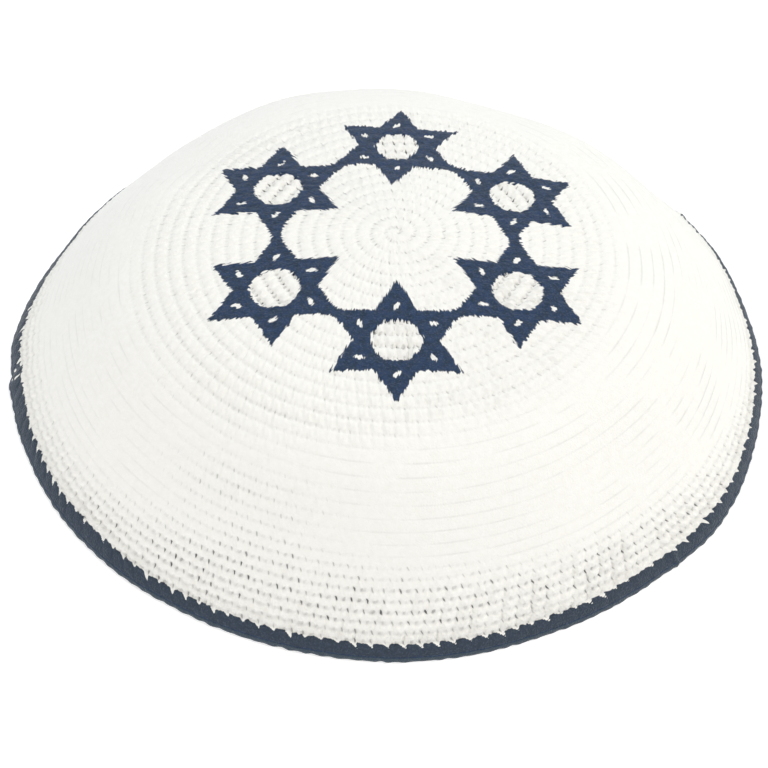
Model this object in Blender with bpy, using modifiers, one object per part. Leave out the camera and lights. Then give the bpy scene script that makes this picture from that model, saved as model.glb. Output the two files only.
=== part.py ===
# Crocheted kippah: a shallow white skullcap with a ring of six joined navy stars let into
# its crown and a navy edging round its rim. Metres, +Z up. It rests on its edging, with
# the origin under the middle of the crown.
from collections import namedtuple
from math import atan2, cos, exp, pi, radians, sin, sqrt

import bmesh
import bpy
from mathutils import Vector

# Driving sizes of the cap
RIM_RADIUS = 0.085
CROWN_HEIGHT = 0.0387
WALL = 0.0022
EDGING_WIDTH = 0.0044
EDGING_THICKNESS = 0.0028
EDGING_FLAT = 0.0005
SEAM_GAP = 0.0003

# Driving sizes of the star ring, seen from above
STAR_RING_RADIUS = 0.0298
STAR_TIP_RADIUS = 0.0158
STAR_WINDOW_RADIUS = 0.0058
BRIDGE_WIDTH = 0.0021
# A bridge starts inside its star, at this share of the way from the middle to a notch
BRIDGE_ROOT = 0.8

# How finely the curved forms are cut into facets, how near two points are to count as
# one, and the angle from which an edge stays sharp
TURN_STEPS = 60
CROWN_RINGS = 14
ROUND_STEPS = 5
PROFILE_STEPS = 8
MERGE_DISTANCE = 0.00001
CUTTER_STEP = 0.0001
SHARP_ANGLE = radians(50)

# Outline of the dome from the crown to the rim, as shares of the rim radius and of the
# crown height
DomeRow = namedtuple("DomeRow", "radius height")
DOME = (
    DomeRow(radius=0.00, height=1.000),
    DomeRow(radius=0.15, height=0.983),
    DomeRow(radius=0.29, height=0.947),
    DomeRow(radius=0.44, height=0.909),
    DomeRow(radius=0.58, height=0.853),
    DomeRow(radius=0.70, height=0.741),
    DomeRow(radius=0.79, height=0.572),
    DomeRow(radius=0.88, height=0.330),
    DomeRow(radius=1.00, height=0.000),
)

# Hollows (below zero) and swells of the soft cloth: where they lie, how deep they are as
# a share of the crown height, and how far they spread as a share of the rim radius
Dent = namedtuple("Dent", "azimuth radius depth spread")
DENTS = (
    Dent(azimuth=-130, radius=0.73, depth=-0.035, spread=0.15),
    Dent(azimuth=-124, radius=0.87, depth=0.022, spread=0.10),
    Dent(azimuth=-47, radius=0.80, depth=-0.028, spread=0.13),
    Dent(azimuth=-15, radius=0.55, depth=0.020, spread=0.13),
    Dent(azimuth=-88, radius=0.70, depth=0.015, spread=0.16),
    Dent(azimuth=147, radius=0.66, depth=-0.022, spread=0.09),
    Dent(azimuth=160, radius=0.68, depth=0.018, spread=0.09),
    Dent(azimuth=62, radius=0.72, depth=-0.020, spread=0.16),
)
# The cloth lies true by the edging: the dents start at the first of these heights above
# the floor and are whole from the second, as shares of the crown height
DENTS_START = 0.15
DENTS_WHOLE = 0.45

# The stars, uneven as hand work is: azimuth of the middle, its distance from the crown's
# middle as a share of the ring radius, and the star's size as a share of the tip radius
Star = namedtuple("Star", "azimuth ring size")
STARS = (
    Star(azimuth=-89.1, ring=1.00, size=1.00),
    Star(azimuth=-29.3, ring=1.00, size=0.99),
    Star(azimuth=30.4, ring=0.99, size=0.97),
    Star(azimuth=90.4, ring=1.04, size=0.95),
    Star(azimuth=148.8, ring=1.03, size=1.00),
    Star(azimuth=211.0, ring=1.00, size=1.00),
)

WHITE_YARN = (0.90, 0.89, 0.85)
NAVY_YARN = (0.045, 0.065, 0.105)
YARN_ROUGHNESS = 0.92


def clear_scene():
    for thing in list(bpy.data.objects):
        bpy.data.objects.remove(thing, do_unlink=True)


def new_collection(name):
    collection = bpy.data.collections.new(name)
    bpy.context.scene.collection.children.link(collection)
    return collection


def yarn(name, colour):
    material = bpy.data.materials.new(name)
    material.use_nodes = True
    shader = material.node_tree.nodes["Principled BSDF"]
    shader.inputs["Base Color"].default_value = (*colour, 1.0)
    shader.inputs["Roughness"].default_value = YARN_ROUGHNESS
    shader.inputs["Metallic"].default_value = 0.0
    return material


# The dome's outline

def curve_between(before, start, end, after, share):
    """A point on the smooth curve from start to end, led by their neighbours."""
    lead_in = (end - before) / 2
    lead_out = (after - start) / 2
    s = share
    return (
        start * (2 * s**3 - 3 * s**2 + 1)
        + lead_in * (s**3 - 2 * s**2 + s)
        + end * (-2 * s**3 + 3 * s**2)
        + lead_out * (s**3 - s**2)
    )


def dome_outline():
    """Points (radius, height) down the outside of the dome, crown to rim."""
    rows = [Vector((row.radius * RIM_RADIUS, row.height * CROWN_HEIGHT)) for row in DOME]
    mirrored = Vector((-rows[1].x, rows[1].y))
    beyond = 2 * rows[-1] - rows[-2]
    knots = [mirrored, *rows, beyond]
    points = []
    for k in range(1, len(knots) - 2):
        for step in range(PROFILE_STEPS):
            points.append(curve_between(*knots[k - 1:k + 3], step / PROFILE_STEPS))
    points.append(rows[-1])
    return points


def outline_length(points):
    return sum((b - a).length for a, b in zip(points, points[1:]))


def point_along(points, distance):
    """The point that lies this far down the outline, and the outward normal there."""
    for a, b in zip(points, points[1:]):
        step = (b - a).length
        if distance <= step or b is points[-1]:
            run = (b - a) / step
            return a + run * distance, Vector((-run.y, run.x))
        distance -= step


# The turned forms

def turn_outline(name, points, closed, collection):
    """Turn a half section, given as (radius, height), into a mesh object."""
    mesh = bpy.data.meshes.new(name)
    edges = [(i, i + 1) for i in range(len(points) - 1)]
    if closed:
        edges.append((len(points) - 1, 0))
    mesh.from_pydata([(p.x, 0.0, p.y) for p in points], edges, [])
    thing = bpy.data.objects.new(name, mesh)
    collection.objects.link(thing)
    screw = thing.modifiers.new("turn", "SCREW")
    screw.axis = "Z"
    screw.angle = 2 * pi
    screw.steps = TURN_STEPS
    screw.render_steps = TURN_STEPS
    screw.use_merge_vertices = True
    screw.merge_threshold = MERGE_DISTANCE
    return thing


def settle(thing):
    """Replace an object's mesh by what its modifiers make of it."""
    bpy.context.view_layer.update()
    graph = bpy.context.evaluated_depsgraph_get()
    mesh = bpy.data.meshes.new_from_object(thing.evaluated_get(graph))
    thing.modifiers.clear()
    thing.data = mesh
    return thing


def shade(piece):
    piece.data.shade_smooth()
    piece.data.set_sharp_from_angle(angle=SHARP_ANGLE)


def clean_cut(piece):
    """Settle a piece's cuts, weld the slivers that they leave and shade it."""
    settle(piece)
    cage = bmesh.new()
    cage.from_mesh(piece.data)
    bmesh.ops.remove_doubles(cage, verts=cage.verts, dist=MERGE_DISTANCE)
    bmesh.ops.dissolve_degenerate(cage, dist=MERGE_DISTANCE, edges=cage.edges)
    cage.to_mesh(piece.data)
    cage.free()
    shade(piece)


def press_dents(mesh):
    """Move the surface out or in along its normals by the table of dents."""
    moves = []
    for vertex in mesh.vertices:
        height = vertex.co.z / CROWN_HEIGHT
        fade = min(1.0, max(0.0, (height - DENTS_START) / (DENTS_WHOLE - DENTS_START)))
        move = 0.0
        for dent in DENTS:
            angle = radians(dent.azimuth)
            middle = Vector((cos(angle), sin(angle))) * dent.radius * RIM_RADIUS
            away = (vertex.co.xy - middle).length / (dent.spread * RIM_RADIUS)
            move += dent.depth * CROWN_HEIGHT * exp(-away * away)
        moves.append(vertex.co + vertex.normal * move * fade)
    for vertex, place in zip(mesh.vertices, moves):
        vertex.co = place


def fabric_surface(outline, guides):
    """The outer face of the cloth from the crown to the edging, as one open surface."""
    end = outline_length(outline) - EDGING_WIDTH - SEAM_GAP
    rings = [point_along(outline, end * k / CROWN_RINGS)[0] for k in range(CROWN_RINGS + 1)]
    surface = settle(turn_outline("fabric_surface", rings, False, guides))
    press_dents(surface.data)
    surface.hide_render = True
    surface.display_type = "WIRE"
    return surface


def wall_piece(name, surface, material, collection):
    """A copy of the cloth with its thickness, ready to be cut to one field of colour."""
    piece = bpy.data.objects.new(name, surface.data.copy())
    collection.objects.link(piece)
    piece.data.materials.append(material)
    thicken = piece.modifiers.new("cloth", "SOLIDIFY")
    thicken.thickness = WALL
    thicken.offset = -1.0
    thicken.use_even_offset = True
    return piece


def edging_section(outline):
    """The edging's cut section: two round ends joined by straight sides, flat below."""
    thick = EDGING_THICKNESS / 2
    face, normal = point_along(outline, outline_length(outline) - EDGING_WIDTH)
    top_run = Vector((normal.y, -normal.x))
    top = face - normal * WALL / 2 + top_run * thick
    low = Vector((RIM_RADIUS - thick, thick - EDGING_FLAT))
    lean = atan2(low.y - top.y, low.x - top.x)
    points = []
    for middle, first in ((low, lean + pi / 2), (top, lean - pi / 2)):
        for step in range(ROUND_STEPS + 1):
            angle = first - pi * step / ROUND_STEPS
            spot = middle + Vector((cos(angle), sin(angle))) * thick
            points.append(Vector((spot.x, max(spot.y, 0.0))))
    return points


def make_edging(outline, material, collection):
    edging = turn_outline("edging", edging_section(outline), True, collection)
    settle(edging)
    edging.data.materials.append(material)
    shade(edging)


# The cutters, upright prisms with the outlines of the colour fields

def star_middle(star):
    angle = radians(star.azimuth)
    return Vector((cos(angle), sin(angle))) * STAR_RING_RADIUS * star.ring


def star_outline(star, grow):
    """A six-pointed star, its sides moved out by grow; every other point is a notch."""
    tip = STAR_TIP_RADIUS * star.size + 2 * grow
    middle = star_middle(star)
    points = []
    for k in range(12):
        angle = radians(star.azimuth + 30 * k)
        reach = tip if k % 2 == 0 else tip / sqrt(3)
        points.append(middle + Vector((cos(angle), sin(angle))) * reach)
    return points


def window_outline(star, grow):
    """The hexagon of white stitches in the middle of a star."""
    reach = STAR_WINDOW_RADIUS + grow * 2 / sqrt(3)
    middle = star_middle(star)
    corners = [radians(star.azimuth + 30 + 60 * k) for k in range(6)]
    return [middle + Vector((cos(angle), sin(angle))) * reach for angle in corners]


def bridge_outline(star, neighbour, grow):
    """The navy strip along which two stars join, rooted inside each of them."""
    run = (star_middle(neighbour) - star_middle(star)).normalized()
    root = STAR_TIP_RADIUS / sqrt(3) * BRIDGE_ROOT
    start = star_middle(star) + run * root * star.size
    end = star_middle(neighbour) - run * root * neighbour.size
    side = Vector((-run.y, run.x)) * (BRIDGE_WIDTH / 2 + grow)
    return [start - side, end - side, end + side, start + side]


def prism(name, outline, guides):
    """A cutter that stands through the whole cap, each a step taller than the last, so
    that no two end in one plane."""
    curve = bpy.data.curves.new(name, "CURVE")
    curve.dimensions = "2D"
    curve.fill_mode = "BOTH"
    curve.extrude = CROWN_HEIGHT + CUTTER_STEP * len(guides.objects)
    spline = curve.splines.new("POLY")
    spline.points.add(len(outline) - 1)
    for point, place in zip(spline.points, outline):
        point.co = (place.x, place.y, 0.0, 1.0)
    spline.use_cyclic_u = True
    drawn = bpy.data.objects.new(name + "_curve", curve)
    guides.objects.link(drawn)
    bpy.context.view_layer.update()
    graph = bpy.context.evaluated_depsgraph_get()
    mesh = bpy.data.meshes.new_from_object(drawn.evaluated_get(graph))
    bpy.data.objects.remove(drawn, do_unlink=True)
    cage = bmesh.new()
    cage.from_mesh(mesh)
    bmesh.ops.remove_doubles(cage, verts=cage.verts, dist=MERGE_DISTANCE)
    bmesh.ops.translate(cage, verts=cage.verts, vec=(0.0, 0.0, CROWN_HEIGHT / 2))
    bmesh.ops.recalc_face_normals(cage, faces=cage.faces)
    cage.to_mesh(mesh)
    cage.free()
    cutter = bpy.data.objects.new(name, mesh)
    guides.objects.link(cutter)
    cutter.hide_render = True
    cutter.display_type = "WIRE"
    return cutter


def combine(thing, operation, other):
    cut = thing.modifiers.new(operation.lower(), "BOOLEAN")
    cut.operation = operation
    cut.solver = "EXACT"
    cut.object = other


def star_cutters(name, grow, guides):
    """A cutter for each of the six stars and each of the bridges between them."""
    cutters = []
    for k, star in enumerate(STARS):
        neighbour = STARS[(k + 1) % len(STARS)]
        bridge = bridge_outline(star, neighbour, grow)
        cutters.append(prism(f"{name}_star_{k + 1}", star_outline(star, grow), guides))
        cutters.append(prism(f"{name}_bridge_{k + 1}", bridge, guides))
    return cutters


# The pieces

def make_star_ring(surface, material, collection, guides):
    first, *others = star_cutters("ring", 0.0, guides)
    outlines = [window_outline(star, 0.0) for star in STARS]
    windows = [prism(f"window_{k + 1}", line, guides) for k, line in enumerate(outlines)]
    for other in others:
        combine(first, "UNION", other)
    ring = wall_piece("star_ring", surface, material, collection)
    combine(ring, "INTERSECT", settle(first))
    for window in windows:
        combine(ring, "DIFFERENCE", window)
    clean_cut(ring)


def make_star_centres(surface, material, collection, guides):
    for k, star in enumerate(STARS):
        field = prism(f"centre_field_{k + 1}", window_outline(star, -SEAM_GAP), guides)
        centre = wall_piece(f"star_centre_{k + 1}", surface, material, collection)
        combine(centre, "INTERSECT", field)
        clean_cut(centre)


def make_white_fields(surface, material, collection, guides):
    """The white crown inside the star ring, and the white cloth outside it."""
    inner = prism("inner_field", [star_middle(star) for star in STARS], guides)
    cutters = star_cutters("gap", SEAM_GAP, guides)
    for name, keep in (("crown_centre", "INTERSECT"), ("crown_side", "DIFFERENCE")):
        field = wall_piece(name, surface, material, collection)
        combine(field, keep, inner)
        for cutter in cutters:
            combine(field, "DIFFERENCE", cutter)
        clean_cut(field)


def main():
    clear_scene()
    kippah = new_collection("kippah")
    guides = new_collection("cutters")
    white = yarn("white_cotton_yarn", WHITE_YARN)
    navy = yarn("navy_cotton_yarn", NAVY_YARN)
    outline = dome_outline()
    surface = fabric_surface(outline, guides)
    make_white_fields(surface, white, kippah, guides)
    make_star_ring(surface, navy, kippah, guides)
    make_star_centres(surface, white, kippah, guides)
    make_edging(outline, navy, kippah)


main()
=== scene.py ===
from collections import namedtuple
from math import cos, pi, radians, sin

import bmesh
import bpy
import numpy as np
from mathutils import Matrix, Vector


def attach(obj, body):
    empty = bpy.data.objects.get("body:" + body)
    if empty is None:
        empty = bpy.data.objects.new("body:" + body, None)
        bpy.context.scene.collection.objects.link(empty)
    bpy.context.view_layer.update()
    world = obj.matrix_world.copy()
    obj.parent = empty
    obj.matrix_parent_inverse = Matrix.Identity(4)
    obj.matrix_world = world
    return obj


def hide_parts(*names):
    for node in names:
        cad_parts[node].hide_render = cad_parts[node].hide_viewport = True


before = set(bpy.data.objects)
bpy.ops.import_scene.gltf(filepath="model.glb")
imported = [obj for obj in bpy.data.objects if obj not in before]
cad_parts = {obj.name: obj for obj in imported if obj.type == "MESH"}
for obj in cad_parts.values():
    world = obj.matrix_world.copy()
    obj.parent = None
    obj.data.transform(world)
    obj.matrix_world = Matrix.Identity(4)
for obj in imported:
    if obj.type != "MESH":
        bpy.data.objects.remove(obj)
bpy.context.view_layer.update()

MM = 0.001

# The solids' own sizes and tables, repeated
RIM_RADIUS = 0.085
CROWN_HEIGHT = 0.0387
WALL = 0.0022
STAR_RING_RADIUS = 0.0298
STAR_TIP_RADIUS = 0.0158
STAR_WINDOW_RADIUS = 0.0058
BRIDGE_WIDTH = 0.0021
DOME = (
    (0.00, 1.000), (0.15, 0.983), (0.29, 0.947), (0.44, 0.909), (0.58, 0.853),
    (0.70, 0.741), (0.79, 0.572), (0.88, 0.330), (1.00, 0.000),
)
Dent = namedtuple("Dent", "azimuth radius depth spread")
DENTS = (
    Dent(-130, 0.73, -0.035, 0.15), Dent(-124, 0.87, 0.022, 0.10),
    Dent(-47, 0.80, -0.028, 0.13), Dent(-15, 0.55, 0.020, 0.13),
    Dent(-88, 0.70, 0.015, 0.16), Dent(147, 0.66, -0.022, 0.09),
    Dent(160, 0.68, 0.018, 0.09), Dent(62, 0.72, -0.020, 0.16),
)
# Where the soft cloth sags or swells a little further than the solids
SAGS = (Dent(115, 0.79, 0.023, 0.16), Dent(73, 0.79, -0.028, 0.16))
DENTS_START = 0.15
DENTS_WHOLE = 0.45
Star = namedtuple("Star", "azimuth ring size")
STARS = (
    Star(-89.1, 1.00, 1.00), Star(-29.3, 1.00, 0.99), Star(30.4, 0.99, 0.97),
    Star(90.4, 1.04, 0.95), Star(148.8, 1.03, 1.00), Star(211.0, 1.00, 1.00),
)

# How the rounds are worked: height of a round at some of the rounds, stitches added in
# each round up to the most that a round has, and how far a column leans in each round
WHITE_ROUNDS = 34
WHITE_END = 95.0 * MM
HEIGHT_ROUNDS = (1, 16, 26, 34)
HEIGHTS = (3.18, 3.18, 2.50, 1.85)
ADDED_STITCHES = 8
MOST_STITCHES = 156
COLUMN_LEAN = 0.17
# The work runs on as a spiral, and its last round ends at the left of the cap
JOIN_AZIMUTH = radians(186.5)
FRONT_AZIMUTH = radians(-90)

GRID_CELLS = 460
OUTLINE_STEPS = 40


def unit(vectors):
    return vectors / np.linalg.norm(vectors, axis=-1, keepdims=True)


# The outer face of the cloth

def dome_outline():
    """Distances down the outside of the dome and its points (radius, height) there."""
    rows = np.array(DOME) * (RIM_RADIUS, CROWN_HEIGHT)
    knots = np.vstack([rows[1] * (-1, 1), rows, 2 * rows[-1] - rows[-2]])
    s = np.linspace(0, 1, OUTLINE_STEPS, endpoint=False)[:, None]
    points = []
    for before, start, end, after in zip(knots, knots[1:], knots[2:], knots[3:]):
        points.append(
            start * (2 * s**3 - 3 * s**2 + 1)
            + (end - before) / 2 * (s**3 - 2 * s**2 + s)
            + end * (-2 * s**3 + 3 * s**2)
            + (after - start) / 2 * (s**3 - s**2)
        )
    points = np.vstack([*points, rows[-1:]])
    steps = np.linalg.norm(np.diff(points, axis=0), axis=1)
    return np.concatenate([[0.0], np.cumsum(steps)]), points


ARCS, OUTLINE = dome_outline()
RUNS = unit(np.gradient(OUTLINE, axis=0))
TOTAL_ARC = ARCS[-1]


def cloth_point(arc, azimuth, lift):
    """The point at this distance from the crown and azimuth, lifted off the cloth."""
    inside = np.clip(arc, 0, TOTAL_ARC)
    past = arc - inside
    run_r = np.interp(inside, ARCS, RUNS[:, 0])
    run_z = np.interp(inside, ARCS, RUNS[:, 1])
    radius = np.interp(inside, ARCS, OUTLINE[:, 0]) + run_r * past
    height = np.interp(inside, ARCS, OUTLINE[:, 1]) + run_z * past
    x = radius * np.cos(azimuth)
    y = radius * np.sin(azimuth)
    fade = np.clip((height / CROWN_HEIGHT - DENTS_START) / (DENTS_WHOLE - DENTS_START), 0, 1)
    move = 0.0
    for dent in DENTS + SAGS:
        angle = radians(dent.azimuth)
        away = np.hypot(
            x - dent.radius * RIM_RADIUS * cos(angle),
            y - dent.radius * RIM_RADIUS * sin(angle),
        ) / (dent.spread * RIM_RADIUS)
        move = move + dent.depth * CROWN_HEIGHT * np.exp(-away**2)
    normal = unit(np.stack(
        [-run_z * np.cos(azimuth), -run_z * np.sin(azimuth), run_r + 0 * azimuth], axis=-1
    ))
    base = np.stack([x, y, height], axis=-1)
    return base + normal * (move * fade + lift)[..., None], normal


# The colour work

def star_middle(star):
    angle = radians(star.azimuth)
    return np.array((cos(angle), sin(angle))) * STAR_RING_RADIUS * star.ring


def soft_max(a, b, blend):
    """The larger of two, with the crease between them rounded over this width."""
    share = np.clip(0.5 + 0.5 * (a - b) / blend, 0, 1)
    return b * (1 - share) + a * share + blend * share * (1 - share)


def half_planes(x, y, reach, angles):
    """How far inside the polygon with these side directions a point lies."""
    sides = [reach - x * cos(angle) - y * sin(angle) for angle in angles]
    return np.minimum.reduce(sides)


CORNER_BLEND = 1.2 * MM
# A window's size across its flats and across its rounded corners, and how far it is round
WINDOW_FLATS = 0.87
WINDOW_CORNERS = 0.93
WINDOW_BLEND = 0.65
WINDOW_SHARES = (0.99, 1.0, 0.92, 0.88, 0.98, 1.0)
# White flecks show through each star a little way up its tips
FLECK_REACH = 8.9 * MM
FLECK_HALF = 0.62 * MM
FLECK_LONG = 1.4
FLECK_SLANT = 0.5
# How much clearer than elsewhere the colours part at the flecks and the edging's teeth
FLECK_CLEAR = 1.35
EDGE_CLEAR = 2.5
STAR_TURNS = (0, 0, -3.0, -4.0, 0, 0)


def navy_depth(x, y):
    """How far inside the navy a point of the cloth lies, seen from above; white is
    below zero."""
    depth = np.full(np.shape(x), -1.0)
    for k, star in enumerate(STARS):
        turn = radians(star.azimuth + STAR_TURNS[k])
        middle = star_middle(star)
        reach = STAR_TIP_RADIUS * star.size
        u, v = x - middle[0], y - middle[1]
        points = [turn + radians(60 * j) for j in range(6)]
        shape = np.maximum(
            half_planes(u, v, reach / 2, points[0::2]),
            half_planes(u, v, reach / 2, points[1::2]),
        )
        other = star_middle(STARS[(k + 1) % len(STARS)])
        run = (other - middle) / np.linalg.norm(other - middle)
        along = u * run[0] + v * run[1]
        across = np.abs(v * run[0] - u * run[1])
        half = BRIDGE_WIDTH / 2
        strip = np.minimum(half - across, np.linalg.norm(other - middle) - along)
        strip = np.minimum(strip, along)
        depth = soft_max(depth, soft_max(shape, strip, CORNER_BLEND), CORNER_BLEND)
    for star, share in zip(STARS, WINDOW_SHARES):
        turn = radians(star.azimuth)
        middle = star_middle(star)
        u, v = x - middle[0], y - middle[1]
        sides = [turn + radians(60 * j) for j in range(6)]
        flat_sided = half_planes(u, v, STAR_WINDOW_RADIUS * WINDOW_FLATS * share, sides)
        rounded = STAR_WINDOW_RADIUS * WINDOW_CORNERS * share - np.hypot(u, v)
        window = flat_sided * (1 - WINDOW_BLEND) + rounded * WINDOW_BLEND
        depth = np.minimum(depth, -window)
        for side in sides:
            along = u * cos(side) + v * sin(side) - FLECK_REACH * star.size
            across = v * cos(side) - u * sin(side)
            away = np.hypot(along / FLECK_LONG, across + FLECK_SLANT * along)
            depth = np.minimum(depth, (away - FLECK_HALF) * FLECK_CLEAR)
    return depth


# The rounds

ROUND_HEIGHTS = np.interp(np.arange(1, WHITE_ROUNDS + 4), HEIGHT_ROUNDS, HEIGHTS)
ROUND_ENDS = np.concatenate([[0.0], np.cumsum(ROUND_HEIGHTS)])
ROUND_ENDS *= WHITE_END / ROUND_ENDS[WHITE_ROUNDS]
FRONT_SHARE = (FRONT_AZIMUTH - JOIN_AZIMUTH) % (2 * pi) / (2 * pi)
# The round at which the edging starts, at some azimuths
BORDER = (
    (-173.5, 33.45), (-165, 33.5), (-160, 33.8), (-150, 33.95), (-135, 33.75), (-125, 34.1),
    (-90, 34.1), (-60, 34.05), (-40, 34.0), (-35, 33.8), (-28, 34.0), (-15, 34.05),
    (0, 33.85), (10, 34.05), (20, 34.0), (30, 34.0), (45, 34.3), (90, 34.0), (160, 33.6),
    (175, 33.8), (186.5, 34.0),
)
FULL_ROUND = (MOST_STITCHES + COLUMN_LEAN) / ADDED_STITCHES - 0.5


def turned(azimuth):
    """The share of a revolution worked since the join."""
    return np.mod(azimuth - JOIN_AZIMUTH, 2 * pi) / (2 * pi)


def border_arc(azimuth):
    """Distance from the crown of the line where the edging starts."""
    angle = np.degrees(np.mod(azimuth - JOIN_AZIMUTH, 2 * pi) + JOIN_AZIMUTH) - 360
    rounds = np.interp(angle, *np.array(BORDER).T)
    return np.interp(rounds, np.arange(len(ROUND_ENDS)), ROUND_ENDS)


def spiral(arc, azimuth):
    """The share of the way across its round at which a point lies, the revolutions worked
    up to it, and how high its round is."""
    rounds = np.interp(arc, ROUND_ENDS, np.arange(len(ROUND_ENDS)))
    rounds = rounds - turned(azimuth) + FRONT_SHARE
    whole = np.floor(rounds)
    height = np.interp(rounds, np.arange(len(ROUND_ENDS)), np.gradient(ROUND_ENDS))
    return rounds - whole, whole + turned(azimuth), height


def stitches_worked(revolutions):
    """Stitches from the start of the work up to here along the spiral."""
    growing = np.clip(revolutions, 0, FULL_ROUND)
    even = revolutions - growing
    return ADDED_STITCHES / 2 * growing * (growing + 1) + (MOST_STITCHES + COLUMN_LEAN) * even


def stitch_width(arc, azimuth):
    rounds = spiral(arc, azimuth)[1]
    count = np.clip(ADDED_STITCHES * (rounds + 0.5), 4, MOST_STITCHES + COLUMN_LEAN)
    return 2 * pi * np.interp(arc, ARCS, OUTLINE[:, 0]) / count


def lumps(x, y, size, rng):
    """Smooth random unevenness from -1 to 1 over a plane, its lumps this far apart."""
    cells = int(2.4 * RIM_RADIUS / size) + 3
    heights = rng.uniform(-1, 1, (cells, cells))
    u, v = x / size + cells / 2, y / size + cells / 2
    i, j = np.floor(u).astype(int), np.floor(v).astype(int)
    s, t = u - i, v - j
    s, t = s * s * (3 - 2 * s), t * t * (3 - 2 * t)
    near = heights[i, j] * (1 - s) + heights[i + 1, j] * s
    far = heights[i, j + 1] * (1 - s) + heights[i + 1, j + 1] * s
    return near * (1 - t) + far * t


# Where the rounds have worn to a smooth face: from, fully from, fully to and to, as
# distances down from the crown at some azimuths round the cap
Worn = namedtuple("Worn", "azimuth starts smooth ends open")
WORN = (
    Worn(-180, 54, 60, 86, 92), Worn(-135, 56, 66, 82, 90), Worn(-112, 54, 62, 74, 82),
    Worn(-90, 50, 58, 78, 86), Worn(-45, 46, 56, 82, 89), Worn(0, 44, 52, 92, 96),
    Worn(90, 44, 50, 92, 96), Worn(150, 48, 54, 90, 95), Worn(180, 54, 60, 86, 92),
)

# A patch at the front left where the stitches still show
PATCH_ARC = 71 * MM
PATCH_AZIMUTH = radians(-116)
PATCH_HIGH = 8 * MM
PATCH_WIDE = radians(15)
PATCH_SHARE = 0.75


def worn(arc, azimuth):
    table = np.array(WORN)
    angle = np.mod(np.degrees(azimuth) + 180, 360) - 180
    starts, smooth, ends, open_ = (np.interp(angle, table[:, 0], table[:, k]) * MM
                                   for k in (1, 2, 3, 4))
    rise = np.clip((arc - starts) / (smooth - starts), 0, 1)
    fall = np.clip((open_ - arc) / (open_ - ends), 0, 1)
    angle = np.mod(azimuth - PATCH_AZIMUTH + pi, 2 * pi) - pi
    patch = np.exp(-((arc - PATCH_ARC) / PATCH_HIGH) ** 2 - (angle / PATCH_WIDE) ** 2)
    return rise * fall * (1 - PATCH_SHARE * patch)


# Heights and spreads of what makes a stitch, in millimetres
Hollow = namedtuple("Hollow", "depth wide high")
HOLE = Hollow(0.42, 0.50, 0.60)
SMUDGE = Hollow(0.34, 0.50, 0.55)
OPEN_LINE = Hollow(0.06, 0.0, 0.45)
WORN_LINE = Hollow(0.05, 0.0, 0.30)
LEG_HEIGHT = 0.13
STITCH_HEIGHT = 0.15
LUMP_ROUND = 1.7
UNEVEN = 0.7
UNEVEN_SIZE = 2.3 * MM
# The weakest hollow and the weakest painted shade of a slit, as shares of the strongest
HOLE_LEAST = 0.45
SLIT_LEAST = 0.38
# How proud the stitches stand at some distances from the crown, and in a star's window
PROUD_ARCS = (0, 44 * MM, 60 * MM, 84 * MM, 91 * MM)
PROUD_SHARES = (0.9, 1.35, 1.1, 1.1, 1.8)
WINDOW_PROUD = 1.5
WINDOW_HOLES = 2.0
# How plainly the lines between open rounds show at the same distances
LINE_SHARES = (0.20, 0.40, 0.50, 0.6, 0.6)
COLUMN_TILT = 0.30
LINE_WAVE = 0.08
NAVY_SHARE = 0.25
HOLE_JITTER = 0.07
# How dark the painted shade in the slits is at some distances from the crown
SLIT_ARCS = (0, 44 * MM, 64 * MM, 80 * MM, 89 * MM, 93 * MM)
SLIT_STRENGTHS = (0.52, 0.26, 0.42, 1.0, 0.85, 0.45)
# How plainly the painted shade along the lines of worn rounds shows at some azimuths; the same
# share thins their fuzz
WORN_LINE_TURNS = (-180, -140, -100, -60, -30, 30, 70, 180)
WORN_LINE_SHARES = (0.8, 0.7, 0.6, 0.9, 1.5, 1.5, 0.5, 0.5)
# How dark the painted shade in the slits is at some azimuths
SLIT_TURNS = (-180, -160, -140, -125, -40, -20, 0, 30, 150, 180)
SLIT_SHARES = (0.20, 0.35, 0.75, 1.0, 1.0, 0.75, 0.45, 0.25, 0.20, 0.20)
# Nearer to the crown the slits' painted shade is as dark all round
SLIT_TURNS_START = 62 * MM


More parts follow.
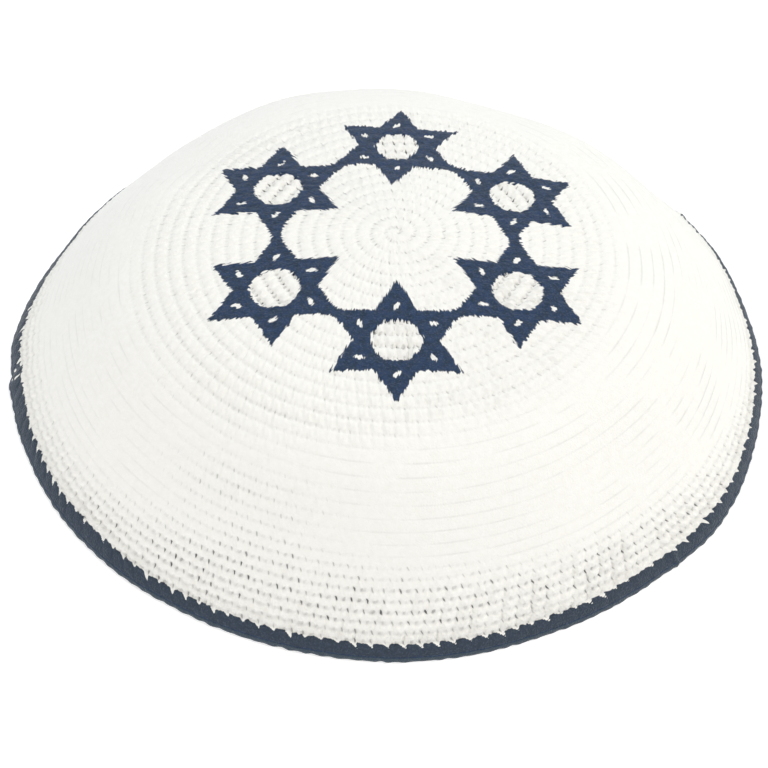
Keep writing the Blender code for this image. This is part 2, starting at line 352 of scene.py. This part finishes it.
def stitch_relief(arc, azimuth, navy, rng):
    """Height of the stitches over the plain face in millimetres, and what the yarn's
    material draws them from: the place in the stitch and in the round as angles, the
    size of a stitch, and how open it is, which with their third parts sets how strongly
    shade is painted into the slits, the worn rounds' lines and the scallops."""
    across, revolutions, height = spiral(arc, azimuth)
    width = stitch_width(arc, azimuth) / MM
    height = height / MM
    outer = across > 0.5
    down = np.where(outer, across - 1, across)
    line = stitches_worked(revolutions + outer)
    number = np.round(line).astype(int)
    line = line + rng.normal(0, HOLE_JITTER, number.max() + 2)[number]
    chance = rng.uniform(0, 1, number.max() + 2)[number]
    strength = HOLE_LEAST + (1 - HOLE_LEAST) * chance
    slit = (SLIT_LEAST + (1 - SLIT_LEAST) * chance ** 2) * np.interp(arc, SLIT_ARCS, SLIT_STRENGTHS)
    angle = np.mod(np.degrees(azimuth) + 180, 360) - 180
    by_azimuth = np.interp(angle, SLIT_TURNS, SLIT_SHARES)
    slit = slit * np.where(arc > SLIT_TURNS_START, by_azimuth, 1.0)
    open_ = 1 - worn(arc, azimuth)
    share = np.where(navy > 0, NAVY_SHARE, 1.0)
    wavy = (down + LINE_WAVE * np.cos(2 * pi * line)) * height
    beside = line - np.round(line)
    hole = np.exp(-(beside * width / HOLE.wide) ** 2 - (wavy / HOLE.high) ** 2)
    beside = line - 0.5 - np.round(line - 0.5)
    side_hollow = np.exp(-(beside * width / SMUDGE.wide) ** 2 - (wavy / SMUDGE.high) ** 2)
    lined = np.interp(arc, PROUD_ARCS, LINE_SHARES) * open_
    groove = OPEN_LINE.depth * np.exp(-(wavy / OPEN_LINE.high) ** 2) * lined
    groove += WORN_LINE.depth * np.exp(-(down * height / WORN_LINE.high) ** 2) * (1 - open_)
    column = stitches_worked(revolutions) - COLUMN_TILT * (across - 0.5)
    raised = -LEG_HEIGHT * np.cos(4 * pi * column) - STITCH_HEIGHT * np.cos(2 * pi * column)
    flat = cloth_point(arc, azimuth, np.zeros(len(arc)))[0]
    uneven = 1 + UNEVEN * lumps(flat[:, 0], flat[:, 1], UNEVEN_SIZE, rng)
    raised = raised * np.sin(pi * across) ** LUMP_ROUND * open_ * uneven
    share = share * np.interp(arc, PROUD_ARCS, PROUD_SHARES)
    for star in STARS:
        away = np.hypot(*(flat[:, :2] - star_middle(star)).T)
        within = away < STAR_WINDOW_RADIUS
        share = np.where(within, share * WINDOW_PROUD, share)
        strength = np.where(within, strength * WINDOW_HOLES, strength)
        slit = np.where(within, slit * WINDOW_HOLES, slit)
    depth = (hole * HOLE.depth + side_hollow * SMUDGE.depth) * strength * open_
    # The stitch's Z sets how strongly shade is painted into its slit, the row's Z how strongly it
    # is painted along a worn round's line (the row's Z also thins the fuzz), the size's Z how
    # strongly the scalloped shade is painted
    stitch = np.stack([np.cos(2 * pi * line), np.sin(2 * pi * line), slit * open_ * share], -1)
    lines = (1 - open_) * np.interp(angle, WORN_LINE_TURNS, WORN_LINE_SHARES)
    row = np.stack([np.cos(2 * pi * down), np.sin(2 * pi * down), lines], -1)
    size = np.stack([width, height, lined * share], -1)
    return share * (raised - groove - depth), stitch, row, size


# The edging, in millimetres: a round of blocks, one to a stitch, with white teeth reaching
# in between them, and a thick strand along the rim
STRAND_START = 97.8 * MM
STRAND_HALF = 1.4
STRAND_ROUND = 0.8
STRAND_RISE = 0.17
TWIST = 0.11
TWIST_LEAN = 0.55
# A block's height, how far it differs from one to the next, and its roundness
BLOCK_RISE = 0.22
BLOCK_SHARES = (0.6, 1.2)
BLOCK_ROUND = 0.7
BLOCK_LEAST = 0.3
# The gap between two blocks, and the seam between them and the strand
GAP = Hollow(0.24, 0.40, 0.0)
GAP_CLOSES = 0.75
SEAM = Hollow(0.05, 0.25, 0.0)
TOOTH_LEAN = 0.22
TOOTH_HALF = 0.55
TOOTH_REACH = (0.5, 1.7)
RIM_STITCH = 3.42
# How the material tells the edging's parts, which also take in the teeth, to paint light and shade
# on them: a dusky navy as painted shade on the blocks, a lighter slate as painted light on the
# strand, and a slightly greyed white on both
BLOCK_SHADE = -0.8
STRAND_SHADE = 1.0
SHADE_START = -2
# Loose loops at the join: where (azimuth in degrees, millimetres down from the crown), half
# their width and length in millimetres, and whether they are navy
Loop = namedtuple("Loop", "azimuth arc wide high navy")
LOOPS = (
    Loop(-172.7, 95.2, 0.40, 1.5, True), Loop(-173.7, 97.0, 0.45, 0.65, False),
    Loop(-172.0, 97.3, 0.45, 0.45, False), Loop(-171.6, 95.3, 0.45, 0.9, False),
)


def edging_relief(arc, azimuth, rng):
    """Height of the edging, how far into the navy a point lies, both in millimetres, and
    which part of it it is: below zero on the blocks, which the material paints in shade,
    up to one on the strand, which it paints in light."""
    past = (arc - border_arc(azimuth)) / MM
    column = stitches_worked(WHITE_ROUNDS + turned(azimuth)) - TOOTH_LEAN * past
    number = np.round(column).astype(int)
    beside = np.abs(column - number) * RIM_STITCH
    reach = rng.uniform(*TOOTH_REACH, number.max() + 2)[number]
    rise = rng.uniform(*BLOCK_SHARES, number.max() + 2)[np.floor(column).astype(int)]
    tooth = reach * np.clip(1 - beside / TOOTH_HALF, 0, 1)
    navy = (past - tooth) * EDGE_CLEAR
    band = np.clip((STRAND_START - border_arc(azimuth)) / MM, BLOCK_LEAST, None)
    inward = np.clip(past / band, 0, 1)
    block = BLOCK_RISE * rise * np.sin(pi * inward) ** BLOCK_ROUND
    gap = GAP.depth * np.exp(-(beside / GAP.wide) ** 2) * (1 - GAP_CLOSES * inward)
    strand = (arc - STRAND_START) / (STRAND_HALF * MM)
    ply = TWIST * np.cos(2 * pi * (column - TWIST_LEAN * strand)) * rise
    cord = (STRAND_RISE + ply) * np.sin(pi / 2 * np.clip(strand, 0, 1)) ** STRAND_ROUND
    seam = SEAM.depth * np.exp(-((arc - STRAND_START) / (SEAM.wide * MM)) ** 2)
    height = np.where(arc < STRAND_START, block - gap, cord) - seam
    for loop in LOOPS:
        aside = np.mod(azimuth - radians(loop.azimuth) + pi, 2 * pi) - pi
        away = np.hypot(aside * RIM_RADIUS / MM / loop.wide, (arc / MM - loop.arc) / loop.high)
        inside = (1 - away) * loop.wide * EDGE_CLEAR
        navy = np.maximum(navy, inside) if loop.navy else np.minimum(navy, -inside)
    # This picks the blocks' painted shade tone and the strand's painted light tone
    shade = np.where(arc < STRAND_START, BLOCK_SHADE, STRAND_SHADE)
    return np.where(past > 0, height, 0.0), navy, np.where(past > SHADE_START, shade, 0.0)


# The cloth as a slab of both its faces

RIM_ROUND = 1.35 * MM
FLAT_END = 97.75 * MM
PATH_END = FLAT_END + RIM_ROUND * pi / 2
FLOOR_CLEARANCE = 0.05 * MM
# How far the rim strays from its circle at some azimuths
WAVER = (
    (-180, 1.3), (-175, 0.8), (-173.5, 0.6), (-171.2, 1.25), (-168.5, 0.75), (-163, 0.6),
    (-156, 0.35), (-149, 0.45), (-142, 0.55), (-129, 0.7), (-122, 0.45), (-113, 0.6),
    (-98, 0.9), (-88, 1.3), (-76, 1.0), (-67, 0.5), (-58, 0.55), (-48, 0.6), (-44.6, 0.9),
    (-43.9, 1.4), (-43.2, 1.0), (-38, 1.6), (-34, 1.8), (-30, 1.45), (-25, 1.2), (-20, 0.7),
    (-10, 0.35), (0, 0.45), (10, 0.1), (15, 0.3), (20, 0.7), (25, 1.0), (32.9, 0.8),
    (33.5, 1.3), (34.1, 0.7), (38, 0.2), (60, 0.0), (150, -0.4), (158, -0.8), (165, -0.2),
    (172, 0.6), (180, 1.3),
)
WAVER_START = 84 * MM
RIM_START = 96 * MM
# Where the wall thickens to the rim's roundness
THICK_START = 94 * MM
THICK_END = 97 * MM
# The soft crown stands a little to the right of the rim's middle
CROWN_LEAN = 1.25 * MM
INSIDE_SHARE = 0.5
# Unevenness in millimetres and its lumps' size: the yarn's, how much of which wears away,
# the cloth's, and the edging's
FUZZ = 0.06
FUZZ_SIZE = 0.8 * MM
FUZZ_WORN = 0.9
SLACK = 0.05
SLACK_SIZE = 3.1 * MM
EDGING_LUMPS = 0.10
EDGING_LUMPS_SIZE = 1.1 * MM
SEED = 7


def unrolled(flat):
    """Distance from the crown along the cloth, and azimuth, of the points of a square
    sheet as it is laid on the cap, ring by ring."""
    x, y = flat[:, 0], flat[:, 1]
    ring = np.maximum(np.abs(x), np.abs(y))
    safe = np.maximum(ring, 1e-9)
    level = np.abs(x) >= np.abs(y)
    azimuth = np.where(
        level,
        pi / 4 * y / safe * np.sign(x) + np.where(x < 0, pi, 0),
        pi / 2 - pi / 4 * x / safe * np.sign(y) + np.where(y < 0, pi, 0),
    )
    return ring * PATH_END, azimuth


def lay(path, azimuth, inside):
    """Points of the cloth, outside or inside, and what its material reads there."""
    turn = np.clip((path - FLAT_END) / RIM_ROUND, 0, pi / 2)
    arc = np.minimum(path, FLAT_END) + RIM_ROUND * np.sin(turn)
    plain, _ = cloth_point(arc, azimuth, np.zeros(len(arc)))
    x, y = plain[:, 0], plain[:, 1]
    rng = np.random.default_rng(SEED)
    edging, rim_navy, shade = edging_relief(arc, azimuth, rng)
    navy = np.maximum(navy_depth(x, y) / MM, rim_navy)
    raised, stitch, row, size = stitch_relief(arc, azimuth, navy, rng)
    fuzz = FUZZ * (1 - FUZZ_WORN * np.clip(row[:, 2], 0, 1))
    raised = raised + fuzz * lumps(x, y, FUZZ_SIZE, rng) + SLACK * lumps(x, y, SLACK_SIZE, rng)
    on_edging = arc > border_arc(azimuth)
    edging = edging + EDGING_LUMPS * lumps(x, y, EDGING_LUMPS_SIZE, rng)
    raised = np.where(on_edging, edging, raised) * MM
    stitch[on_edging, 2] = 0
    row[on_edging, 2] = 0
    edge_share = np.clip((arc - THICK_START) / (THICK_END - THICK_START), 0, 1)
    thick = WALL + (2 * RIM_ROUND - WALL) * edge_share
    arc = arc + raised * np.sin(turn)
    if inside:
        lift = RIM_ROUND * (1 - np.cos(turn)) - thick - INSIDE_SHARE * raised * np.cos(turn)
    else:
        lift = raised * np.cos(turn) - RIM_ROUND * (1 - np.cos(turn))
    points, _ = cloth_point(arc, azimuth, lift)
    table = np.array(WAVER)
    stray = np.interp(np.mod(np.degrees(azimuth) + 180, 360) - 180, table[:, 0], table[:, 1])
    stray = stray * MM * np.clip((arc - WAVER_START) / (RIM_START - WAVER_START), 0, 1)
    points[:, 0] += stray * np.cos(azimuth) + CROWN_LEAN * points[:, 2] / CROWN_HEIGHT
    points[:, 1] += stray * np.sin(azimuth)
    points[:, 2] = np.maximum(points[:, 2], FLOOR_CLEARANCE)
    return points, {"navy": navy, "shade": shade, "stitch": stitch, "row": row, "size": size}


def within_ring(x, y):
    """Whether points lie inside the hexagon through the stars' middles."""
    inside = np.full(len(x), True)
    for k, star in enumerate(STARS):
        here = star_middle(star)
        run = star_middle(STARS[(k + 1) % len(STARS)]) - here
        inside &= run[0] * (y - here[1]) - run[1] * (x - here[0]) > 0
    return inside


# Where the side is cut into bands, so that none has too many triangles
SIDE_BANDS = (58.7 * MM, 72.9 * MM, 84.9 * MM)
WINDOW_ROOM = 1.2
FIRST_STAR_CENTRE = 2
FIRST_SIDE = FIRST_STAR_CENTRE + len(STARS)


def piece_of_each(flat):
    """The number of the piece that each face of the sheet belongs to."""
    path, azimuth = unrolled(flat)
    arc = np.minimum(path, FLAT_END)
    points, _ = cloth_point(arc, azimuth, np.zeros(len(arc)))
    x, y = points[:, 0], points[:, 1]
    kind = FIRST_SIDE + np.searchsorted(SIDE_BANDS, arc)
    kind[within_ring(x, y)] = 0
    for k, star in enumerate(STARS):
        middle = star_middle(star)
        away = np.hypot(x - middle[0], y - middle[1])
        kind[away < STAR_WINDOW_RADIUS * WINDOW_ROOM] = FIRST_STAR_CENTRE + k
    kind[navy_depth(x, y) > 0] = 1
    kind[path > border_arc(azimuth)] = FIRST_SIDE + len(SIDE_BANDS) + 1
    return kind


PIECES = [("crown_centre_cloth", "white_yarn", "crown_centre"),
          ("star_ring_cloth", "navy_yarn", "star_ring")]
PIECES += [(f"star_centre_{k + 1}_cloth", "white_yarn", f"star_centre_{k + 1}")
           for k in range(len(STARS))]
PIECES += [(f"crown_side_cloth_{k + 1}", "white_yarn", "crown_side")
           for k in range(len(SIDE_BANDS) + 1)]
PIECES += [("edging_cloth", "navy_edging_yarn", "edging")]


def corner_normals(points):
    """Smooth normals of a sheet, given as a grid of points."""
    first = points[1:, 1:] - points[:-1, :-1]
    second = points[:-1, 1:] - points[1:, :-1]
    faces = np.cross(first, second)
    normals = np.zeros_like(points)
    for i in (slice(None, -1), slice(1, None)):
        for j in (slice(None, -1), slice(1, None)):
            normals[i, j] += faces
    return unit(normals)


def make_cloth(material):
    """Cut a square sheet into its pieces, give each its wall, and lay them on the cap."""
    sheet = bmesh.new()
    bmesh.ops.create_grid(sheet, x_segments=GRID_CELLS, y_segments=GRID_CELLS, size=1.0)
    middles = np.array([face.calc_center_median() for face in sheet.faces])
    kinds = piece_of_each(middles)
    side = np.linspace(-1, 1, GRID_CELLS + 1)
    grid = np.stack(np.meshgrid(side, side, indexing="ij"), axis=-1).reshape(-1, 2)
    path, azimuth = unrolled(grid)
    shape = (GRID_CELLS + 1, GRID_CELLS + 1, 3)
    outside, carried = lay(path, azimuth, False)
    inside, _ = lay(path, azimuth, True)
    out_normals = corner_normals(outside.reshape(shape)).reshape(-1, 3)
    in_normals = -corner_normals(inside.reshape(shape)).reshape(-1, 3)
    for number, (name, slot, node) in enumerate(PIECES):
        piece = sheet.copy()
        others = [face for face, kind in zip(piece.faces, kinds) if kind != number]
        bmesh.ops.delete(piece, geom=others, context="FACES")
        made = bmesh.ops.extrude_face_region(piece, geom=piece.faces[:], use_keep_orig=True)
        inner = [part for part in made["geom"] if isinstance(part, bmesh.types.BMVert)]
        bmesh.ops.translate(piece, verts=inner, vec=(0, 0, -1))
        bmesh.ops.recalc_face_normals(piece, faces=piece.faces)
        mesh = bpy.data.meshes.new(name)
        piece.to_mesh(mesh)
        piece.free()
        flat = np.empty(len(mesh.vertices) * 3)
        mesh.vertices.foreach_get("co", flat)
        flat = flat.reshape(-1, 3)
        steps = np.round((flat[:, :2] + 1) / 2 * GRID_CELLS).astype(int)
        place = steps[:, 0] * (GRID_CELLS + 1) + steps[:, 1]
        below = flat[:, 2:] < -0.5
        points = np.where(below, inside[place], outside[place])
        mesh.vertices.foreach_set("co", points.ravel())
        mesh.polygons.foreach_set("use_smooth", np.ones(len(mesh.polygons), dtype=bool))
        normals = np.where(below, in_normals[place], out_normals[place])
        mesh.normals_split_custom_set_from_vertices(normals.tolist())
        for key, values in carried.items():
            kind, field = ("FLOAT", "value") if values.ndim == 1 else ("FLOAT_VECTOR", "vector")
            mesh.attributes.new(key, kind, "POINT").data.foreach_set(
                field, values[place].astype(np.float32).ravel())
        mesh.materials.append(material)
        thing = bpy.data.objects.new(name, mesh)
        bpy.context.scene.collection.objects.link(thing)
        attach(thing, "root")
        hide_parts(node)
    sheet.free()


# Materials

def linear(hex_colour):
    """An sRGB hex colour as linear light."""
    parts = [int(hex_colour[k:k + 2], 16) / 255 for k in (1, 3, 5)]
    light = [p / 12.92 if p <= 0.04045 else ((p + 0.055) / 1.055) ** 2.4 for p in parts]
    return (*light, 1.0)


def add_node(tree, kind, settings=None, **links):
    """Add a node: its settings, then its inputs, by name or as i and their number, as
    values or as sockets to link."""
    node = tree.nodes.new(kind)
    for name, value in (settings or {}).items():
        setattr(node, name, value)
    for name, value in links.items():
        socket = node.inputs[int(name[1:])] if name[1:].isdigit() else node.inputs[
            name.replace("_", " ")]
        if isinstance(value, bpy.types.NodeSocket):
            tree.links.new(value, socket)
        else:
            socket.default_value = value
    return node


# Fibres and stray hairs, drawn as coarse as they need to show
FIBRE_SIZE = 0.40 * MM
HAIR_WIDTH = 0.50 * MM
HAIR_LENGTH = 1.5 * MM
HAIR_CIRCLE = 35 * MM
MOTTLE_SIZE = 1.2 * MM
MOTTLE_RANGE = (0.35, 0.65)
# How far the fibres stray over where the colours meet, and half the width that it blurs
FRINGE = 0.95
FRINGE_BLUR = 0.12
# How strongly the painted highlight on the stray fibres shows over the yarn
FIBRE_HIGHLIGHT = 0.14
FIBRE_HIGHLIGHT_RANGE = (0.50, 0.75)
# The painted shade in the slit at the foot of each stitch, in the hollow beside it and
# along the line of a round: half their width and length, in millimetres
SLIT = (0.21, 0.50)
SIDE_HOLLOW_SHADE = (0.42, 0.48)
SIDE_HOLLOW_SHADE_SHARE = 0.40
LINE_HALF = 0.30
SLIT_LEAN = 0.40
MARK_EDGE = 1.3
# A worn round's line of painted shade, broken over these lengths, and its least and its added
# painted shade
BREAK_SIZE = 9 * MM
BREAK_RANGE = (0.42, 0.64)
LINE_LEAST = 0.03
LINE_ADDED = 0.11
# How far the marks stray, and the scalloped shade between the rounds of open stitches
STRAY = 0.42
STRAY_SIZE = 0.9 * MM
SCALLOP = 0.22
SCALLOP_HALF = 0.60
SCALLOP_SHADE = 0.11
# Relief in the bump, in millimetres: fibres, what they add on the edging, and the marks
FIBRE_RELIEF = 0.13
EDGING_RELIEF = 0.22
MARK_RELIEF = -0.35
# Cotton scatters almost evenly, with a faint sheen from its fibres
ROUGHNESS = 0.95
SPECULAR = 0.2
SHEEN = 0.25
SHEEN_ROUGHNESS = 0.5


def math_node(tree, operation, *values):
    """The result of a sum on values or sockets."""
    links = {f"i{k}": value for k, value in enumerate(values)}
    return add_node(tree, "ShaderNodeMath", {"operation": operation}, **links).outputs[0]


def turn_length(tree, angle_attribute, length, opposite):
    """How far a point lies from the nearest whole turn, or half turn, of the angle that
    its attribute holds as a cosine and a sine."""
    axes = add_node(tree, "ShaderNodeSeparateXYZ", i0=angle_attribute)
    sign = -1.0 if opposite else 1.0
    across = math_node(tree, "MULTIPLY", axes.outputs["X"], sign)
    up = math_node(tree, "MULTIPLY", axes.outputs["Y"], sign)
    angle = math_node(tree, "ARCTAN2", up, across)
    return math_node(tree, "MULTIPLY", math_node(tree, "DIVIDE", angle, 2 * pi), length)


def slanted_mark(tree, beside, down, lean, halves):
    """A soft slanted oval, 1 in its middle."""
    slanted = math_node(tree, "MULTIPLY_ADD", down, -lean, beside)
    wide = math_node(tree, "POWER", math_node(tree, "DIVIDE", slanted, halves[0]), 2.0)
    high = math_node(tree, "POWER", math_node(tree, "DIVIDE", down, halves[1]), 2.0)
    away = math_node(tree, "ADD", wide, high)
    return add_node(tree, "ShaderNodeMapRange", {"interpolation_type": "SMOOTHSTEP"}, i0=away,
                    i1=MARK_EDGE, i2=0.0).outputs[0]


def crochet_cotton(name):
    """Soft matt cotton yarn, white or navy, whose fibres stray over where the colours
    meet. The slits between its stitches lie in painted shade, as do the hollows beside them
    and the lines between rounds; its stray fibres carry a painted highlight, and the
    edging's blocks and strand painted shade and light."""
    material = bpy.data.materials.new(name)
    material.use_nodes = True
    tree = material.node_tree
    shader = tree.nodes["Principled BSDF"]
    place = add_node(tree, "ShaderNodeTexCoord").outputs["Object"]
    carried = {key: add_node(tree, "ShaderNodeAttribute", {"attribute_name": key})
               for key in ("navy", "shade", "stitch", "row", "size")}

    axes = add_node(tree, "ShaderNodeSeparateXYZ", i0=place)
    radius = add_node(tree, "ShaderNodeVectorMath", {"operation": "LENGTH"}, i0=place)
    azimuth = math_node(tree, "ARCTAN2", axes.outputs["Y"], axes.outputs["X"])
    combed = add_node(tree, "ShaderNodeCombineXYZ", i2=0.0,
                      i0=math_node(tree, "MULTIPLY", azimuth, HAIR_CIRCLE / HAIR_WIDTH),
                      i1=math_node(tree, "DIVIDE", radius.outputs["Value"], HAIR_LENGTH))
    hairs = add_node(tree, "ShaderNodeTexNoise", Vector=combed.outputs[0], Scale=1.0, Detail=1.0)
    fringe = math_node(tree, "MULTIPLY_ADD", hairs.outputs["Fac"], 2 * FRINGE, -FRINGE)
    edge = math_node(tree, "ADD", carried["navy"].outputs["Fac"], fringe)
    mask = add_node(tree, "ShaderNodeMapRange", i0=edge, i1=-FRINGE_BLUR, i2=FRINGE_BLUR)

    size = add_node(tree, "ShaderNodeSeparateXYZ", i0=carried["size"].outputs["Vector"])
    stitch = carried["stitch"].outputs["Vector"]
    row = carried["row"].outputs["Vector"]
    stitched = add_node(tree, "ShaderNodeSeparateXYZ", i0=stitch)
    smooth = add_node(tree, "ShaderNodeSeparateXYZ", i0=row).outputs["Z"]
    line = turn_length(tree, row, size.outputs["Y"], False)
    strays = add_node(tree, "ShaderNodeTexNoise", Vector=place, Scale=1 / STRAY_SIZE, Detail=1.0)
    strays = add_node(tree, "ShaderNodeSeparateXYZ", i0=strays.outputs["Color"])
    aside = math_node(tree, "MULTIPLY_ADD", strays.outputs["X"], STRAY, -STRAY / 2)
    along = math_node(tree, "MULTIPLY_ADD", strays.outputs["Y"], STRAY, -STRAY / 2)
    down = math_node(tree, "ADD", line, along)
    beside = math_node(tree, "ADD", aside, turn_length(tree, stitch, size.outputs["X"], False))
    opposite = math_node(tree, "ADD", aside, turn_length(tree, stitch, size.outputs["X"], True))
    # Painted shade in each stitch's slit and in the hollow beside it
    slit = slanted_mark(tree, beside, down, SLIT_LEAN, SLIT)
    side_hollow = slanted_mark(tree, opposite, down, -SLIT_LEAN, SIDE_HOLLOW_SHADE)
    side_hollow = math_node(tree, "MULTIPLY", side_hollow, SIDE_HOLLOW_SHADE_SHARE)
    marks = math_node(tree, "MAXIMUM", slit, side_hollow)
    marks = math_node(tree, "MULTIPLY", marks, stitched.outputs["Z"])
    scallop = math_node(tree, "MULTIPLY_ADD", stitched.outputs["X"], SCALLOP, down)
    scallop = add_node(tree, "ShaderNodeMapRange", {"interpolation_type": "SMOOTHSTEP"},
                       i0=math_node(tree, "ABSOLUTE", scallop), i1=SCALLOP_HALF, i2=0.0,
                       i4=SCALLOP_SHADE)
    scallop = math_node(tree, "MULTIPLY", scallop.outputs[0], size.outputs["Z"])
    marks = math_node(tree, "MAXIMUM", marks, scallop)
    # Painted shade along the grooves between worn rounds
    worn_groove_shade = add_node(tree, "ShaderNodeMapRange", i0=math_node(tree, "ABSOLUTE", line),
                         i1=LINE_HALF, i2=0.0).outputs[0]
    broken = add_node(tree, "ShaderNodeTexNoise", Vector=place, Scale=1 / BREAK_SIZE, Detail=1.0)
    broken = add_node(tree, "ShaderNodeMapRange", i0=broken.outputs["Fac"],
                      i1=BREAK_RANGE[0], i2=BREAK_RANGE[1])
    worn_groove_shade = math_node(tree, "MULTIPLY", worn_groove_shade, broken.outputs[0])
    worn_groove_shade = math_node(tree, "MULTIPLY", worn_groove_shade,
                          math_node(tree, "MULTIPLY_ADD", smooth, LINE_ADDED, LINE_LEAST))
    # All the painted shade: slits, hollows beside them, scallops and worn rounds' lines
    dark = math_node(tree, "MAXIMUM", marks, worn_groove_shade)

    colours = []
    fibres = add_node(tree, "ShaderNodeTexNoise", Vector=place, Scale=1 / FIBRE_SIZE, Detail=2.0)
    # A painted highlight on the stray fibres, where the fibre noise is high
    light = add_node(tree, "ShaderNodeMapRange", i0=fibres.outputs["Fac"],
                     i1=FIBRE_HIGHLIGHT_RANGE[0], i2=FIBRE_HIGHLIGHT_RANGE[1], i4=FIBRE_HIGHLIGHT)
    mottle = add_node(tree, "ShaderNodeTexNoise", Vector=place, Scale=1 / MOTTLE_SIZE, Detail=3.0)
    mottled = add_node(tree, "ShaderNodeMapRange", i0=mottle.outputs["Fac"],
                       i1=MOTTLE_RANGE[0], i2=MOTTLE_RANGE[1])
    part = carried["shade"].outputs["Fac"]
    # Each yarn's tones: two mottled tones of its own, then the edging strand's painted light, the
    # edging blocks' painted shade, the painted highlight on stray fibres and the painted shade
    # colour
    for plain, other, strand, block, fibre_highlight, shaded in (
            ("#f8f7f3", "#f5f4ef", "#f6f5f0", "#f6f5f0", "#fbfaf7", "#77787a"),
            ("#2a3e5e", "#24354a", "#404d59", "#39434e", "#8490a2", "#1c2230")):
        bare = add_node(tree, "ShaderNodeMix", {"data_type": "RGBA"}, i0=mottled.outputs[0])
        bare.inputs[6].default_value = linear(plain)
        bare.inputs[7].default_value = linear(other)
        tone = bare
        on_block = math_node(tree, "MULTIPLY", part, -1.0)
        for share, colour in ((part, strand), (on_block, block), (light.outputs[0], fibre_highlight),
                              (dark, shaded)):
            tone = add_node(tree, "ShaderNodeMix", {"data_type": "RGBA"}, i0=share,
                            i6=tone.outputs[2])
            tone.inputs[7].default_value = linear(colour)
        colours.append(tone.outputs[2])
    tone = add_node(tree, "ShaderNodeMix", {"data_type": "RGBA"}, i0=mask.outputs[0],
                    i6=colours[0], i7=colours[1])
    tree.links.new(tone.outputs[2], shader.inputs["Base Color"])
    coarse = math_node(tree, "MULTIPLY_ADD", math_node(tree, "ABSOLUTE", part),
                       EDGING_RELIEF, FIBRE_RELIEF)
    height = math_node(tree, "MULTIPLY_ADD", fibres.outputs["Fac"], coarse,
                       math_node(tree, "MULTIPLY", dark, MARK_RELIEF))
    bump = add_node(tree, "ShaderNodeBump", Strength=1.0, Distance=MM, Height=height)
    tree.links.new(bump.outputs[0], shader.inputs["Normal"])
    shader.inputs["Roughness"].default_value = ROUGHNESS
    shader.inputs["Specular IOR Level"].default_value = SPECULAR
    shader.inputs["Sheen Weight"].default_value = SHEEN
    shader.inputs["Sheen Roughness"].default_value = SHEEN_ROUGHNESS
    return material


# Camera, light and floor

CAMERA_ELEVATION = radians(47.12)
CAMERA_DISTANCE = 0.510
CAMERA_ROLL = radians(1.31)
CAMERA_TARGET = Vector((-0.009, -0.105, 0.0)) * RIM_RADIUS
FOCAL_PIXELS = 2264.8
FRAME_PIXELS = 768
SENSOR = 36.0
FLOOR_HALF = 6.0
# The floor glows a little, so that it is as white as the photo's paper
FLOOR_GLOW = 0.34
SKY_STRENGTH = 0.40
BOX_SIZE = 0.9
# Soft boxes: where they hang, in metres, their power in watts and their tint
SoftBox = namedtuple("SoftBox", "name place power tint")
SOFT_BOXES = (
    SoftBox("softbox_back_right", (0.7, 0.5, 1.2), 9.0, (1.0, 0.985, 0.95)),
    SoftBox("softbox_front_left", (-0.7, -0.9, 1.0), 9.0, (1.0, 0.985, 0.965)),
    SoftBox("softbox_back", (-0.3, 1.0, 0.8), 2.3, (0.60, 0.80, 1.0)),
    SoftBox("softbox_right", (1.3, 0.0, 0.5), 3.5, (1.0, 0.98, 0.94)),
)


def set_camera():
    data = bpy.data.cameras.new("camera")
    camera = bpy.data.objects.new("camera", data)
    bpy.context.scene.collection.objects.link(camera)
    ahead = Vector((0, cos(CAMERA_ELEVATION), -sin(CAMERA_ELEVATION)))
    right = Vector((1, 0, 0))
    up = right.cross(ahead)
    side = right * cos(CAMERA_ROLL) + up * sin(CAMERA_ROLL)
    top = up * cos(CAMERA_ROLL) - right * sin(CAMERA_ROLL)
    turn = Matrix((side, top, -ahead)).transposed().to_4x4()
    camera.matrix_world = Matrix.Translation(CAMERA_TARGET - ahead * CAMERA_DISTANCE) @ turn
    data.sensor_width = SENSOR
    data.lens = SENSOR * FOCAL_PIXELS / FRAME_PIXELS
    bpy.context.scene.camera = camera


def add_light(box):
    data = bpy.data.lights.new(box.name, "AREA")
    data.shape = "DISK"
    data.size = BOX_SIZE
    data.energy = box.power
    data.color = box.tint
    light = bpy.data.objects.new(box.name, data)
    light.location = box.place
    light.rotation_euler = (-Vector(box.place)).to_track_quat("-Z", "Y").to_euler()
    bpy.context.scene.collection.objects.link(light)


def set_stage():
    cage = bmesh.new()
    bmesh.ops.create_grid(cage, x_segments=1, y_segments=1, size=FLOOR_HALF)
    mesh = bpy.data.meshes.new("floor")
    cage.to_mesh(mesh)
    cage.free()
    paper = bpy.data.materials.new("white_paper_floor")
    paper.use_nodes = True
    shader = paper.node_tree.nodes["Principled BSDF"]
    shader.inputs["Base Color"].default_value = linear("#f2f2f2")
    shader.inputs["Roughness"].default_value = 1.0
    shader.inputs["Emission Color"].default_value = (1, 1, 1, 1)
    shader.inputs["Emission Strength"].default_value = FLOOR_GLOW
    mesh.materials.append(paper)
    floor = bpy.data.objects.new("floor", mesh)
    bpy.context.scene.collection.objects.link(floor)
    world = bpy.data.worlds.new("studio")
    world.use_nodes = True
    world.node_tree.nodes["Background"].inputs["Color"].default_value = (1, 1, 1, 1)
    world.node_tree.nodes["Background"].inputs["Strength"].default_value = SKY_STRENGTH
    bpy.context.scene.world = world
    for box in SOFT_BOXES:
        add_light(box)
    bpy.context.scene.view_settings.view_transform = "Standard"


def main():
    set_camera()
    set_stage()
    make_cloth(crochet_cotton("crochet_cotton_yarn"))


main()
